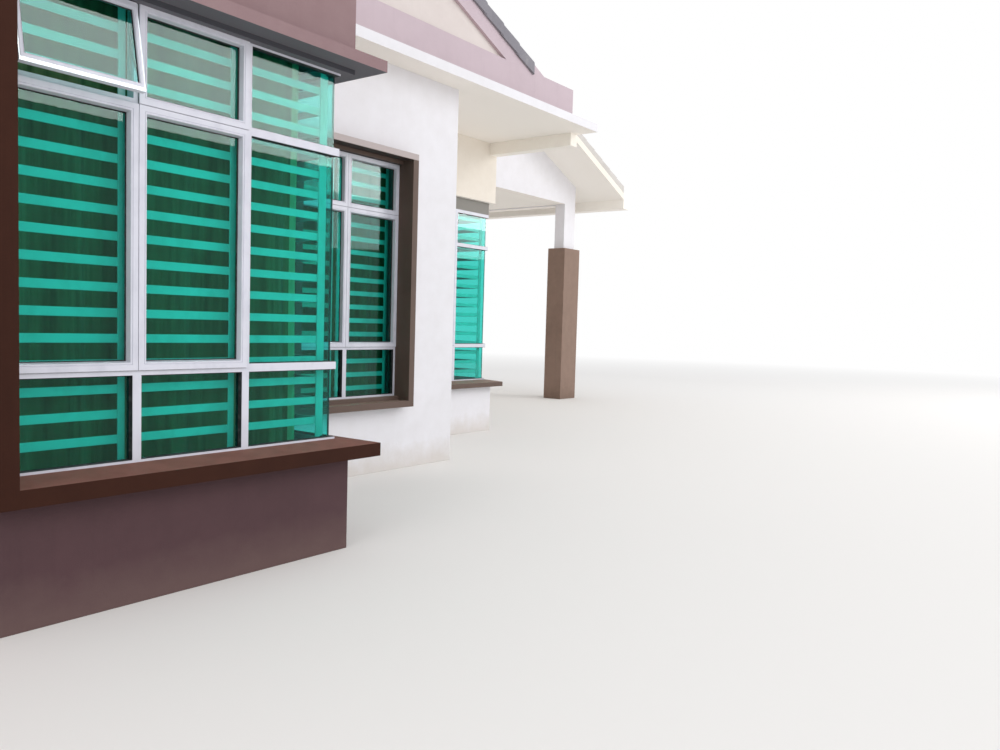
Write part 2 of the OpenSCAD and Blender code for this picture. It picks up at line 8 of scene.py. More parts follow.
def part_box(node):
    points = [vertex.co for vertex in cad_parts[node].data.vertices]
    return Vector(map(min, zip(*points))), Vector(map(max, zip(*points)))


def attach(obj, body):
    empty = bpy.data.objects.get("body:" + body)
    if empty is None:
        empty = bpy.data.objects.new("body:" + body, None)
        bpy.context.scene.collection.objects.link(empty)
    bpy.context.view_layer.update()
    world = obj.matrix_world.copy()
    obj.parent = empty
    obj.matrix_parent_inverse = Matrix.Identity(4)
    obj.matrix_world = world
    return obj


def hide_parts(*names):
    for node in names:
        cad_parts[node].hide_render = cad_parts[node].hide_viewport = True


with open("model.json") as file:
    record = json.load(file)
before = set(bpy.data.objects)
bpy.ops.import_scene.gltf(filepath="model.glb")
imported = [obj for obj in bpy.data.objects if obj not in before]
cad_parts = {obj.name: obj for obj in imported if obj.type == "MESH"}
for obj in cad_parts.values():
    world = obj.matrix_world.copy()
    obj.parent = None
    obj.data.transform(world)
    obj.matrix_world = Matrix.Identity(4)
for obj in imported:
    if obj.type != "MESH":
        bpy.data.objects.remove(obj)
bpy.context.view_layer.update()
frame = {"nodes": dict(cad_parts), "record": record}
print("frame loaded,", len(frame["nodes"]), "solids")


# Shapes: a shape is its points (n, 3) and a list of face tables, each with one number of corners

def joined(shapes):
    # Points one after the other, each shape's face numbers raised by the points before it
    starts = np.cumsum([0] + [len(points) for points, tables in shapes])
    tables = [table + start for start, (points, group) in zip(starts, shapes) for table in group]
    sizes = sorted({table.shape[1] for table in tables})
    together = [np.concatenate([t for t in tables if t.shape[1] == size]) for size in sizes]
    return np.concatenate([points for points, group in shapes]), together


def outward(shape):
    # Volume by the divergence theorem over fans of triangles; a negative one turns every face round
    points, tables = shape
    volume = 0.0
    for table in tables:
        first = points[table[:, 0]]
        for k in range(1, table.shape[1] - 1):
            volume += np.einsum("ij,ij->", first, np.cross(points[table[:, k]], points[table[:, k + 1]]))
    return (points, [table[:, ::-1] for table in tables]) if volume < 0 else shape


def gridFaces(rows, columns, closedRows=False, closedColumns=False):
    # Quads between neighbouring rows and columns of a grid that is numbered row by row
    r = np.arange(rows if closedRows else rows - 1)
    c = np.arange(columns if closedColumns else columns - 1)
    r, c = np.meshgrid(r, c, indexing="ij")
    up, right = (r + 1) % rows, (c + 1) % columns
    quads = np.stack([r * columns + c, r * columns + right, up * columns + right, up * columns + c], -1)
    return quads.reshape(-1, 4)


def carried(outline, centres, sides, ups, closed=False, scales=None):
    # A profile carried along a path: centre + scale * (u * side + v * up), with its two ends capped
    outline, centres = np.asarray(outline, float), np.asarray(centres, float)
    sides, ups = np.broadcast_to(sides, centres.shape), np.broadcast_to(ups, centres.shape)
    scales = np.ones(len(centres)) if scales is None else np.asarray(scales, float)
    u, v = outline[:, 0], outline[:, 1]
    across = u[None, :, None] * sides[:, None] + v[None, :, None] * ups[:, None]
    points = centres[:, None] + scales[:, None, None] * across
    rows, columns = points.shape[:2]
    tables = [gridFaces(rows, columns, closed, True)]
    if not closed:
        ring = np.arange(columns)
        tables.append(np.stack([ring[::-1], (rows - 1) * columns + ring]))
    return outward((points.reshape(-1, 3), tables))


def softBox(soft):
    # A box from 0 to 1 with its edges taken off by soft: each corner has three points, one on each face.
    # steps says how far a point's number grows with x, y and z
    signs = np.array([[x, y, z] for x in (0, 1) for y in (0, 1) for z in (0, 1)])
    sign = np.repeat(signs, 3, axis=0)
    points = sign + soft * (1 - np.tile(np.eye(3), (8, 1))) * (1 - 2 * sign)
    steps, quads = (12, 6, 3), []
    for a in range(3):
        b, c = (a + 1) % 3, (a + 2) % 3
        along, up, side = steps[a], steps[b], steps[c]
        for s in (0, 1):
            face = [along * s + a + k for k in (0, up, up + side, side)]
            quads.append(face if s else face[::-1])
            for t in (0, 1):
                one = up * s + side * t
                face = [one + b, one + along + b, one + along + c, one + c]
                quads.append(face if s != t else face[::-1])
    numbers = np.arange(24).reshape(8, 3)
    tris = np.where(signs.sum(1, keepdims=True) % 2 == 1, numbers, numbers[:, ::-1])
    return outward((points, [np.array(quads), tris]))


def blocks(lows, highs, soft=0.002):
    # Many such boxes at once: each point lies on its box's low or high side, or soft inside one of them
    lows, highs = np.asarray(lows, float).reshape(-1, 3), np.asarray(highs, float).reshape(-1, 3)
    low, high = np.minimum(lows, highs)[:, None], np.maximum(lows, highs)[:, None]
    points, tables = softBox(0.25)
    every = np.select([points == 0, points == 1, points < 0.5], [low, high, low + soft], high - soft)
    steps = len(points) * np.arange(len(low))[:, None, None]
    return every.reshape(-1, 3), [(table + steps).reshape(-1, table.shape[1]) for table in tables]


def circleOf(count):
    turn = np.linspace(0, 2 * math.pi, count, endpoint=False)
    return np.stack([np.cos(turn), np.sin(turn)], -1)


def newObject(name, data):
    made = bpy.data.objects.new(name, data)
    bpy.context.scene.collection.objects.link(made)
    return made


def makePiece(name, shape, material, slotName=None, replaced=(), sharp=32):
    points, tables = shape
    mesh = bpy.data.meshes.new(name)
    counts = np.concatenate([np.full(len(t), t.shape[1]) for t in tables])
    corners = np.concatenate([t.ravel() for t in tables]).astype(np.int32)
    mesh.vertices.add(len(points))
    mesh.vertices.foreach_set("co", points.astype(np.float32).ravel())
    mesh.loops.add(len(corners))
    mesh.polygons.add(len(counts))
    mesh.polygons.foreach_set("loop_start", (np.cumsum(counts) - counts).astype(np.int32))
    mesh.polygons.foreach_set("vertices", corners)
    mesh.update(calc_edges=True)
    mesh.validate()
    mesh.shade_smooth()
    mesh.set_sharp_from_angle(angle=math.radians(sharp))
    piece = newObject(name, mesh)
    mesh.materials.append(material)
    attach(piece, "root")
    if replaced:
        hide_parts(*replaced)
    return piece


# Wall planes: s runs along the wall, d goes into it from its outer face, z is up. The plan counts from the
# outer corner of bay one's front wall and the rear wall
planCorner = (-8.5475, -5.7475)


def wallPlane(x, y, along, inward, z=0.0, tip=0.0):
    # tip turns the plane about its foot line, so that a leaf below that line swings out
    c, s = math.cos(tip), math.sin(tip)
    return {"foot": np.array([x, y, z]), "along": np.array([*along, 0.0]),
            "inward": np.array([inward[0] * c, inward[1] * c, -s]),
            "up": np.array([inward[0] * s, inward[1] * s, c])}


def planPlane(x, y, *rest):
    return wallPlane(x + planCorner[0], y + planCorner[1], *rest)


def placed(plane, s, d, z):
    return plane["foot"] + s * plane["along"] + d * plane["inward"] + z * plane["up"]


def onPlane(plane, shape):
    points, tables = shape
    return outward((placed(plane, points[:, 0:1], points[:, 1:2], points[:, 2:3]), tables))


def ringAround(plane, s0, s1, z0, z1, outline):
    # A profile carried round a rectangle: u goes into the opening with mitred corners, v into the wall
    corners = np.array([[s0, 0, z0], [s1, 0, z0], [s1, 0, z1], [s0, 0, z1]], float)
    inside = np.array([[1, 0, 1], [-1, 0, 1], [-1, 0, -1], [1, 0, -1]], float)
    return onPlane(plane, carried(outline, corners, inside, [0, 1, 0], closed=True))


def channelAround(plane, s1, z0, z1, outline):
    # The same beside a glass corner: open there, its ends cut at 45 degrees to meet the other wall's
    corners = np.array([[0, 0, z0], [s1, 0, z0], [s1, 0, z1], [0, 0, z1]], float)
    inside = np.array([[0, 0, 1], [-1, 0, 1], [-1, 0, -1], [0, 0, -1]], float)
    return onPlane(plane, carried(outline, corners, inside, [[1, 1, 0], [0, 1, 0], [0, 1, 0], [1, 1, 0]]))


# Materials from nodes

def linear(text):
    # A colour as it shows on the screen, to the linear one that the shader takes
    value = np.array([int(text[i:i + 2], 16) for i in (1, 3, 5)]) / 255
    value = np.where(value <= 0.04045, value / 12.92, ((value + 0.055) / 1.055) ** 2.4)
    return (*value.tolist(), 1.0)


def addNode(tree, kind, inputs=None, **settings):
    made = tree.nodes.new(kind)
    for key, value in settings.items():
        setattr(made, key, value)
    for key, value in (inputs or {}).items():
        if isinstance(value, bpy.types.NodeSocket):
            tree.links.new(value, made.inputs[key])
        else:
            made.inputs[key].default_value = value
    return made


def blendColours(tree, factor, first, second):
    # Each colour is a socket or a screen colour's text
    first, second = (linear(tone) if isinstance(tone, str) else tone for tone in (first, second))
    return addNode(tree, "ShaderNodeMix", {0: factor, 6: first, 7: second}, data_type="RGBA").outputs[2]


def mixShaders(tree, factor, first, second):
    return addNode(tree, "ShaderNodeMixShader", {0: factor, 1: first, 2: second}).outputs[0]


def calc(tree, way, first, second=0.0):
    return addNode(tree, "ShaderNodeMath", {0: first, 1: second}, operation=way).outputs[0]


def spread(tree, value, low, high, toLow=0.0, toHigh=1.0):
    return addNode(tree, "ShaderNodeMapRange", {0: value, 1: low, 2: high, 3: toLow, 4: toHigh}).outputs[0]


def rayIs(tree, *kinds):
    # One for a ray of any of these kinds, else nought
    path = addNode(tree, "ShaderNodeLightPath")
    found = 0.0
    for kind in kinds:
        found = calc(tree, "MAXIMUM", found, path.outputs["Is " + kind + " Ray"])
    return found


def placeOn(tree, stretch=(1, 1, 1), space="Object"):
    where = addNode(tree, "ShaderNodeTexCoord").outputs[space]
    return addNode(tree, "ShaderNodeMapping", {"Vector": where, "Scale": stretch}).outputs[0]


def partsOf(tree, vector):
    return addNode(tree, "ShaderNodeSeparateXYZ", {0: vector}).outputs


def noiseOn(tree, where, scale, detail=3.0, rough=0.55):
    inputs = {"Vector": where, "Scale": scale, "Detail": detail, "Roughness": rough}
    return addNode(tree, "ShaderNodeTexNoise", inputs).outputs[0]


def bumpFrom(tree, height, depth, strength=1.0, below=None):
    inputs = {"Height": height, "Distance": depth, "Strength": strength}
    if below is not None:
        inputs["Normal"] = below
    return addNode(tree, "ShaderNodeBump", inputs).outputs[0]


def newMaterial(name):
    material = bpy.data.materials.new(name)
    material.use_nodes = True
    material.node_tree.nodes.clear()
    return material, material.node_tree


def finished(material, surface):
    addNode(material.node_tree, "ShaderNodeOutputMaterial", {"Surface": surface})
    return material


def surfaceFrom(tree, **inputs):
    names = {"colour": "Base Color", "rough": "Roughness", "normal": "Normal", "gloss": "Specular IOR Level",
             "through": "Transmission Weight", "bend": "IOR", "coat": "Coat Weight",
             "coatRough": "Coat Roughness", "sheen": "Sheen Weight"}
    inputs = {names[key]: value for key, value in inputs.items()}
    return addNode(tree, "ShaderNodeBsdfPrincipled", inputs).outputs[0]


# Paint on cement render: trowelled unevenness, sand grain, faint runs down the wall and dust near the ground.
# tones: the paint, its patches and runs, faces that look up, and faces that look down. The up tone is dust on
# the pale paints and a paler painted sky light on the tops of the darker ones. The down tone is painted shade,
# and painted bounce light under the white and cream paints. A band is its lowest and highest height and its
# colour
commonPaint = {"runs": 0.25, "splash": "#8f8078", "rough": 0.85, "grain": 0.0007, "gloss": 0.3}
palePaint = {"runs": 0.15, "splash": "#b9ab9a", "grain": 0.0004}
darkPaint = {"splash": "#7b5c4e", "rough": 0.62, "grain": 0.0006}
paintLooks = {
    "whitePaint": {"tones": ("#e8e6e9", "#dcd9da", "#cdc6bc", "#faf4ec"), "runs": 0.10, "splash": "#c9bfb2",
                   "grain": 0.0005},
    "mauvePaint": {"tones": ("#937a7b", "#84696c", "#a0928b", "#7d6668")},
    # A paler copy of the mauve paint for the gables and parapets: painted haze light
    "hazeLitMauvePaint": {"tones": ("#c5b4ba", "#b8a7ad", "#bdb0ae", "#c2aeb4")},
    # The hood: the mauve paint, grey under its soffit as painted shade, and its band near-black painted shade on
    # the lintel's drop below the hood
    "hoodPaint": {"tones": ("#937a7b", "#84696c", "#a0928b", "#6c6a70"), "band": (3.07, 3.1079, "#4a4a50")},
    # The plinth: a darker copy of the mauve paint, with the plinth's shade painted in
    "plinthPaint": {"tones": ("#523a3d", "#463134", "#85736a", "#3f3236"), "splash": "#6f5a55",
                    "rough": 0.80, "grain": 0.0008},
    "surroundPaint": {**darkPaint, "tones": ("#65534a", "#54443c", "#8b7568", "#3f3633"),
                      "band": (3.128, 3.19, "#b5a9a6")},
    "brownPaint": {**darkPaint, "tones": ("#3b2118", "#2e1812", "#80594f", "#241a18"), "gloss": 0.08},
    "panelPaint": {**palePaint, "tones": ("#d9cfca", "#cbc0bb", "#cfc6b8", "#d9cfca")},
    # A paler copy of the cream paint for the canopy beam and porch gutter: painted light on their shaded faces
    "litCreamPaint": {**palePaint, "tones": ("#fbf6ec", "#f1eadf", "#cfc6b8", "#fbf6ee")},
    # Its band is grey painted shade on the lintel recessed under bay three's beam
    "creamPaint": {**palePaint, "tones": ("#f1e9dd", "#e4dacc", "#cfc6b8", "#fbf6ee"),
                   "band": (3.04, 3.2151, "#8e8b85")},
    "columnPaint": {"tones": ("#8c7466", "#766052", "#94857a", "#4c3d35"), "runs": 0.30, "splash": "#6f5a4c",
                    "rough": 0.60, "grain": 0.0005},
    "bareConcrete": {"tones": ("#aaa69e", "#8e8a82", "#a19d94", "#9b978f"), "runs": 0.40, "splash": "#8f877c",
                     "rough": 0.90, "grain": 0.0010},
    "vergeMortar": {"tones": ("#cbc6c0", "#b7b1aa", "#bdb8b0", "#bdb7af"), "runs": 0.30, "splash": "#8f877c",
                    "rough": 0.90, "grain": 0.0010},
}


def paintMaterial(name, own):
    look = {**commonPaint, **own}
    plain, shade, dust, under = look["tones"]
    material, tree = newMaterial(name)
    where = placeOn(tree)
    clouds = noiseOn(tree, where, 0.9, 5.0, 0.6)
    patches = noiseOn(tree, where, 7.0, 4.0, 0.6)
    tone = calc(tree, "ADD", calc(tree, "MULTIPLY", clouds, 0.6), calc(tree, "MULTIPLY", patches, 0.4))
    colour = blendColours(tree, spread(tree, tone, 0.42, 0.68, 0.0, 0.55), plain, shade)
    streaks = noiseOn(tree, placeOn(tree, (5.0, 5.0, 0.22)), 2.6, 5.0, 0.65)
    colour = blendColours(tree, spread(tree, streaks, 0.56, 0.74, 0.0, look["runs"]), colour, shade)
    height = partsOf(tree, where)[2]
    # A band colours a range of heights: painted shade on the lintels under bay one's hood and bay three's beam,
    # and a paler stripe across the head of the middle window's surround
    if "band" in look:
        low, high, grey = look["band"]
        above = calc(tree, "GREATER_THAN", height, low)
        inside = calc(tree, "MULTIPLY", above, calc(tree, "LESS_THAN", height, high))
        colour = blendColours(tree, inside, colour, grey)
    # Faces that look up: dust, and on the darker paints painted sky light. Faces that look down: painted shade,
    # and painted bounce light under the white and cream paints
    facing = partsOf(tree, addNode(tree, "ShaderNodeNewGeometry").outputs["Normal"])[2]
    settled = spread(tree, patches, 0.3, 0.6, 0.75, 1.0)
    dustAndSkyLight = calc(tree, "MULTIPLY", spread(tree, facing, 0.15, 0.8), settled)
    colour = blendColours(tree, dustAndSkyLight, colour, dust)
    colour = blendColours(tree, spread(tree, facing, -0.8, -0.3, 1.0, 0.0), colour, under)
    edge = calc(tree, "ADD", height, calc(tree, "MULTIPLY", patches, -0.22))
    colour = blendColours(tree, spread(tree, edge, -0.08, 0.16, 0.55, 0.0), colour, look["splash"])
    trowel = bumpFrom(tree, noiseOn(tree, where, 3.5, 3.0, 0.5), 0.004, 0.35)
    sand = bumpFrom(tree, noiseOn(tree, where, 160.0, 3.0, 0.6), look["grain"], 1.0, trowel)
    surface = surfaceFrom(tree, colour=colour, rough=look["rough"], gloss=look["gloss"], normal=sand)
    return finished(material, surface)


paints = {name: paintMaterial(name, look) for name, look in paintLooks.items()}

metalLooks = {
    "whiteAluminium": {"colour": "#d3d3dc", "shade": "#bebec9", "rough": 0.34},
    "whiteSteel": {"colour": "#e9ebe9", "shade": "#cfd2cd", "rough": 0.42},
    "doorMetal": {"colour": "#9a9ca0", "shade": "#808287", "rough": 0.28},
}


def coatedMetal(name, look):
    # Powder coat: a fine orange peel and a little dust along the sections
    material, tree = newMaterial(name)
    dust = noiseOn(tree, placeOn(tree, (1.0, 1.0, 0.6)), 9.0, 4.0, 0.6)
    colour = blendColours(tree, spread(tree, dust, 0.46, 0.72, 0.0, 0.6), look["colour"], look["shade"])
    peel = bumpFrom(tree, noiseOn(tree, placeOn(tree), 420.0, 2.0, 0.5), 0.00008, 1.0)
    return finished(material, surfaceFrom(tree, colour=colour, rough=look["rough"], gloss=0.5, normal=peel))


whiteAluminium, whiteSteel, doorMetal = (coatedMetal(name, look) for name, look in metalLooks.items())

glassLook = {"tint": (0.20, 0.79, 0.73, 1.0), "gloss": 0.12, "bend": 1.25}


def greenGlass(name, look):
    # Tinted float glass; shadow rays and light that bounced in the rooms pass straight through with the tint
    material, tree = newMaterial(name)
    wave = bumpFrom(tree, noiseOn(tree, placeOn(tree), 1.3, 1.0, 0.4), 0.002, 0.12)
    surface = surfaceFrom(tree, colour=look["tint"], rough=0.0, through=1.0, bend=look["bend"],
                          gloss=look["gloss"], normal=wave)
    clear = addNode(tree, "ShaderNodeBsdfTransparent", {"Color": look["tint"]}).outputs[0]
    return finished(material, mixShaders(tree, rayIs(tree, "Shadow", "Diffuse"), surface, clear))


tintedGlass = greenGlass("tintedGlass", glassLook)


def blackRubber(name):
    material, tree = newMaterial(name)
    dust = noiseOn(tree, placeOn(tree), 30.0, 4.0, 0.6)
    colour = blendColours(tree, spread(tree, dust, 0.5, 0.75), "#26282a", "#4a4b4b")
    return finished(material, surfaceFrom(tree, colour=colour, rough=0.7, gloss=0.3))


gasketRubber = blackRubber("gasketRubber")

tileLook = {"colour": "#8f8c92", "second": "#77747a", "pale": "#a9a5a4", "gauge": 0.34, "roll": 0.15}


def tileMaterial(name, look):
    # Each tile has its own tone: a random number from the whole number of gauges and rolls at that place
    material, tree = newMaterial(name)
    where = placeOn(tree)
    tiles = (1 / look["gauge"], 1 / (2 * look["roll"]), 0.0)
    cells = addNode(tree, "ShaderNodeVectorMath", {0: where, 1: tiles}, operation="MULTIPLY").outputs[0]
    cells = addNode(tree, "ShaderNodeVectorMath", {0: cells}, operation="FLOOR").outputs[0]
    chance = addNode(tree, "ShaderNodeTexWhiteNoise", {0: cells}, noise_dimensions="2D").outputs[0]
    colour = blendColours(tree, calc(tree, "MULTIPLY", chance, 0.7), look["colour"], look["second"])
    lichen = noiseOn(tree, where, 3.2, 6.0, 0.7)
    colour = blendColours(tree, spread(tree, lichen, 0.54, 0.72, 0.0, 0.55), colour, look["pale"])
    specks = noiseOn(tree, where, 90.0, 3.0, 0.7)
    colour = blendColours(tree, spread(tree, specks, 0.6, 0.75, 0.0, 0.4), colour, look["pale"])
    grit = bumpFrom(tree, noiseOn(tree, where, 220.0, 3.0, 0.6), 0.0008, 1.0)
    return finished(material, surfaceFrom(tree, colour=colour, rough=0.88, gloss=0.3, normal=grit))


roofTiles = tileMaterial("roofTiles", tileLook)

woodLook = {"pale": "#8a5a3a", "dark": "#5a3623", "rough": 0.42}


def woodMaterial(name, look):
    # Grain: noise drawn out along the height, with the lines of a bent wave
    material, tree = newMaterial(name)
    where = placeOn(tree, (14.0, 14.0, 0.9))
    grain = noiseOn(tree, where, 3.0, 6.0, 0.65)
    bent = {"Vector": where, "Scale": 1.2, "Distortion": 9.0, "Detail": 3.0}
    lines = addNode(tree, "ShaderNodeTexWave", bent, bands_direction="X").outputs[1]
    mixed = calc(tree, "ADD", calc(tree, "MULTIPLY", grain, 0.65), calc(tree, "MULTIPLY", lines, 0.35))
    colour = blendColours(tree, spread(tree, mixed, 0.3, 0.75), look["dark"], look["pale"])
    surface = surfaceFrom(tree, colour=colour, rough=look["rough"], gloss=0.4, coat=0.15, coatRough=0.3,
                          normal=bumpFrom(tree, grain, 0.0006, 0.7))
    return finished(material, surface)


doorWood = woodMaterial("doorWood", woodLook)

clothLook = {"thread": "#978a62", "gap": "#6d6144", "pitch": 0.0016, "litEdgeTone": "#ded5a8", "width": 0.050}


def clothMaterial(name, look):
    # Plain weave on the cloth's own map, in metres: threads across and along, brightest on their crowns. A
    # paler strip where the map begins, at the curtain's leading edge, is a painted highlight where light catches
    # its last fold
    material, tree = newMaterial(name)
    parts = partsOf(tree, addNode(tree, "ShaderNodeTexCoord").outputs["UV"])
    turns = 2 * math.pi / look["pitch"]
    waves = [calc(tree, "SINE", calc(tree, "MULTIPLY", parts[k], turns)) for k in (0, 1)]
    weave = calc(tree, "MULTIPLY_ADD", calc(tree, "MULTIPLY", waves[0], waves[1]), 0.5)
    tone = noiseOn(tree, placeOn(tree, (9.0, 0.5, 1.0), "UV"), 2.0, 3.0, 0.6)
    colour = blendColours(tree, spread(tree, tone, 0.35, 0.7), look["thread"], look["gap"])
    # The leading edge's paler strip: a painted highlight
    highlightStrip = calc(tree, "LESS_THAN", parts[0], look["width"])
    colour = blendColours(tree, highlightStrip, colour, look["litEdgeTone"])
    relief = bumpFrom(tree, weave, 0.0003, 0.6)
    surface = surfaceFrom(tree, colour=colour, rough=0.9, gloss=0.2, sheen=0.2, normal=relief)
    return finished(material, surface)


curtainCloth = clothMaterial("curtainCloth", clothLook)

materialOfSlot = {kind + "_paint": paints[kind + "Paint"]
                  for kind in ("white", "mauve", "plinth", "brown", "cream", "column")}
materialOfSlot.update(bare_concrete=paints["bareConcrete"], white_aluminium=whiteAluminium,
                      green_glass=tintedGlass, door_wood=doorWood, roof_tiles=roofTiles)
nodesWithOwnPaint = {
    "hoodPaint": ["bay_one_hood"],
    "hazeLitMauvePaint": ["main_gable", "far_gable", "bay_one_gable", "parapets"],
    "panelPaint": ["gable_panels"],
    "litCreamPaint": ["canopy_beam", "porch_gutter"],
    "surroundPaint": ["middle_window_surround", "other_window_surrounds", "bay_three_sill"],
}
for row in frame["record"]["subparts"]:
    solid = frame["nodes"][row["node"]]
    solid.data.materials.clear()
    solid.data.materials.append(materialOfSlot[row["material_slot"]])
for paint, nodes in nodesWithOwnPaint.items():
    for node in nodes:
        frame["nodes"][node].data.materials[0] = paints[paint]
print("materials made and given to the solids")


# Roofs: rolls across, courses down the slope, each course lying a step over the next. The tiles stop tuck
# inside the solid's ends
roofLook = {"pitch": math.radians(23), "gauge": 0.34, "roll": 0.15, "rollHeight": 0.030, "step": 0.026,
            "perRoll": 7, "thick": 0.150, "proud": 0.044, "tuck": 0.012, "cap": 0.125, "capRise": 0.040,
            "capLength": 0.36}
rise = math.tan(roofLook["pitch"])


def courseEdges(reach, look=roofLook):
    # Distances from the ridge at which the courses end, counted up from the eave
    return np.append(np.arange(reach, 0, -look["gauge"] * math.cos(look["pitch"])), 0.0)[::-1]


def tiledSlope(y0, y1, ridgeX, ridgeZ, side, reach, look=roofLook):
    # z = ridge - distance * rise - (roll + step) + roll wave(y) + step * (part of the course gone down)
    edges = courseEdges(reach)
    down = np.stack([edges[:-1] + 0.001, edges[1:]], -1).ravel()
    lap = np.tile([0.0, look["step"]], len(edges) - 1)
    down[0] = 0.0
    count = int(round((y1 - y0) / look["roll"] * look["perRoll"])) + 1
    y = np.linspace(y0, y1, count)
    wave = look["rollHeight"] * (0.5 + 0.5 * np.cos(2 * math.pi * (y - y0) / look["roll"])) ** 1.6
    z = ridgeZ - down[:, None] * rise - look["rollHeight"] - look["step"] + wave[None] + lap[:, None]
    x = ridgeX + side * np.broadcast_to(down[:, None], z.shape)
    top = np.stack([x, np.broadcast_to(y, z.shape), z], -1)
    under = np.stack([top[0], top[-1]])
    under[..., 2] = ridgeZ - look["thick"] - np.array([0.0, reach])[:, None] * rise
    rows = len(down)
    ridge, eave, last = rows * count, rows * count + count, (rows - 1) * count
    k, ahead = np.arange(count - 1), np.arange(1, count)
    ridgeEnd = np.stack([k, ahead, ridge + ahead, ridge + k], -1)
    eaveEnd = np.stack([last + ahead, last + k, eave + k, eave + ahead], -1)
    below = np.stack([ridge + k, ridge + ahead, eave + ahead, eave + k], -1)
    left = np.append(np.arange(rows) * count, [eave, ridge])[None]
    right = np.append(np.arange(rows) * count + count - 1, [eave + count - 1, eave - 1])[None, ::-1]
    quads = np.concatenate([gridFaces(rows, count)[:, ::-1], ridgeEnd, eaveEnd, below])
    return outward((np.concatenate([top.reshape(-1, 3), under.reshape(-1, 3)]), [quads, left, right]))


rakeLook = {"leaf": 0.144, "width": 0.165, "thick": 0.014, "tilt": 0.013, "lap": 0.05, "round": 0.02,
            "fold": 0.04, "inset": 0.006}


def rakeTiles(y, inward, ridgeX, ridgeZ, side, reach, look=rakeLook):
    # An angle tile with a rounded arris, carried down the slope; its lower end lies higher and further out
    t, r, w, fold = look["thick"], look["round"], look["width"], look["fold"]
    turn = np.linspace(0, math.pi / 2, 5)
    outer = np.stack([r - r * np.cos(turn), -r + r * np.sin(turn)], -1)
    inner = np.stack([r - (r - t) * np.cos(turn), -r + (r - t) * np.sin(turn)], -1)[::-1]
    nose = [[w - 0.01, 0], [w, -0.012], [w, -fold], [w - t, -fold], [w - t, -t]]
    outline = np.concatenate([[[0, -look["leaf"]]], outer, nose, inner, [[t, -look["leaf"]]]])
    edges = courseEdges(reach)
    tiles = []
    for upper, lower in zip(edges[:-1], edges[1:]):
        along = np.array([max(upper - look["lap"], 0.0), lower - 0.012, lower])
        lift = np.array([0.0, look["tilt"], look["tilt"] - 0.003])
        out = np.array([0.0, 0.005, 0.003])
        height = ridgeZ - along * rise + lift - look["tilt"]
        centres = np.stack([ridgeX + side * along, y - inward * out, height], -1)
        tiles.append(carried(outline, centres, [0, inward, 0], [0, 0, 1]))
    return joined(tiles)


def ridgeTiles(y0, y1, ridgeX, ridgeZ, look=roofLook):
    # Half-round caps: an arc shell whose radius grows towards the end that lies over the next cap
    turn = np.linspace(-math.radians(74), math.radians(74), 17)
    shell = [np.stack([r * np.sin(turn), r * np.cos(turn)], -1) for r in (1.0, 0.86)]
    outline = np.concatenate([shell[0], shell[1][::-1]])
    count = max(int(round((y1 - y0) / look["capLength"])), 1)
    length = (y1 - y0) / count
    middle = ridgeZ + look["capRise"] - look["cap"]
    caps = []
    for k in range(count):
        along = y0 + length * k + np.array([-0.05 if k else 0.0, length - 0.06, length - 0.055, length])
        sizes = look["cap"] * np.array([0.90, 0.93, 1.0, 1.0])
        centres = np.stack([np.full(4, ridgeX), along, np.full(4, middle)], -1)
        caps.append(carried(outline, centres, [1, 0, 0], [0, 0, 1], scales=sizes))
    return joined(caps)


def ridgeBedding(y0, y1, ridgeX, ridgeZ):
    # Mortar under each side of the caps: a wedge whose outer face wavers a little along the ridge
    y = np.linspace(y0 + 0.01, y1 - 0.01, int((y1 - y0) / 0.08))
    waver = 1 + 0.05 * np.sin(9.0 * y) + 0.04 * np.sin(23.0 * y + 1.0)
    wedge = [[0.070, -0.030], [0.106, -0.044], [0.118, -0.068], [0.122, -0.110], [0.070, -0.095]]
    centres = np.stack([np.full(len(y), ridgeX), y, np.full(len(y), ridgeZ)], -1)
    return joined([carried(np.array(wedge) * (side, 1), centres, [1, 0, 0], [0, 0, 1], scales=waver)
                   for side in (-1, 1)])


def roofOf(name, node, ridgeX, reaches, ends, edging=(roofTiles, "roof_tiles")):
    # Both slopes with their rake tiles; the rolls stand proud of the solid, whose steps are at their mean
    # height. ends says which gables have rake tiles: 1 for the low y, -1 for the high
    low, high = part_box(node)
    ridgeZ, tuck = high.z + roofLook["proud"], roofLook["tuck"]
    slopes = list(zip((-1, 1), reaches))
    tiles = [tiledSlope(low.y + tuck, high.y - tuck, ridgeX, ridgeZ, side, reach) for side, reach in slopes]
    makePiece(name + "Tiles", joined(tiles), roofTiles, "roof_tiles", [node], sharp=40)
    gables = {1: low.y + rakeLook["inset"], -1: high.y - rakeLook["inset"]}
    rakes = [rakeTiles(gables[end], end, ridgeX, ridgeZ, side, reach)
             for end in ends for side, reach in slopes]
    makePiece(name + "RakeTiles", joined(rakes), *edging, sharp=40)
    return (low.y, high.y, ridgeX, ridgeZ)


mainLow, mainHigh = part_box("main_roof")
oneLow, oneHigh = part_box("bay_one_roof")
porchLow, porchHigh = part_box("porch_roof")
mainMid, oneMid = (mainLow.x + mainHigh.x) / 2, (oneLow.x + oneHigh.x) / 2
porchReach = (porchHigh.z + roofLook["proud"] - roofLook["thick"] - porchLow.z) / rise
porchMid = porchHigh.x - porchReach
ridges = [
    roofOf("mainRoof", "main_roof", mainMid, ((mainHigh.x - mainLow.x) / 2,) * 2, (1, -1)),
    roofOf("bayOneRoof", "bay_one_roof", oneMid, ((oneHigh.x - oneLow.x) / 2,) * 2, (1,)),
    roofOf("porchRoof", "porch_roof", porchMid, (porchMid - porchLow.x, porchReach), (1, -1),
           (paints["vergeMortar"], "bare_concrete")),
]
caps = joined([ridgeTiles(*ridge) for ridge in ridges])
makePiece("ridgeTiles", caps, roofTiles, "roof_tiles", ["ridge_caps"])
bedding = joined([ridgeBedding(*ridge) for ridge in ridges])
makePiece("ridgeBedding", bedding, paints["bareConcrete"], "bare_concrete")
print("roofs tiled")
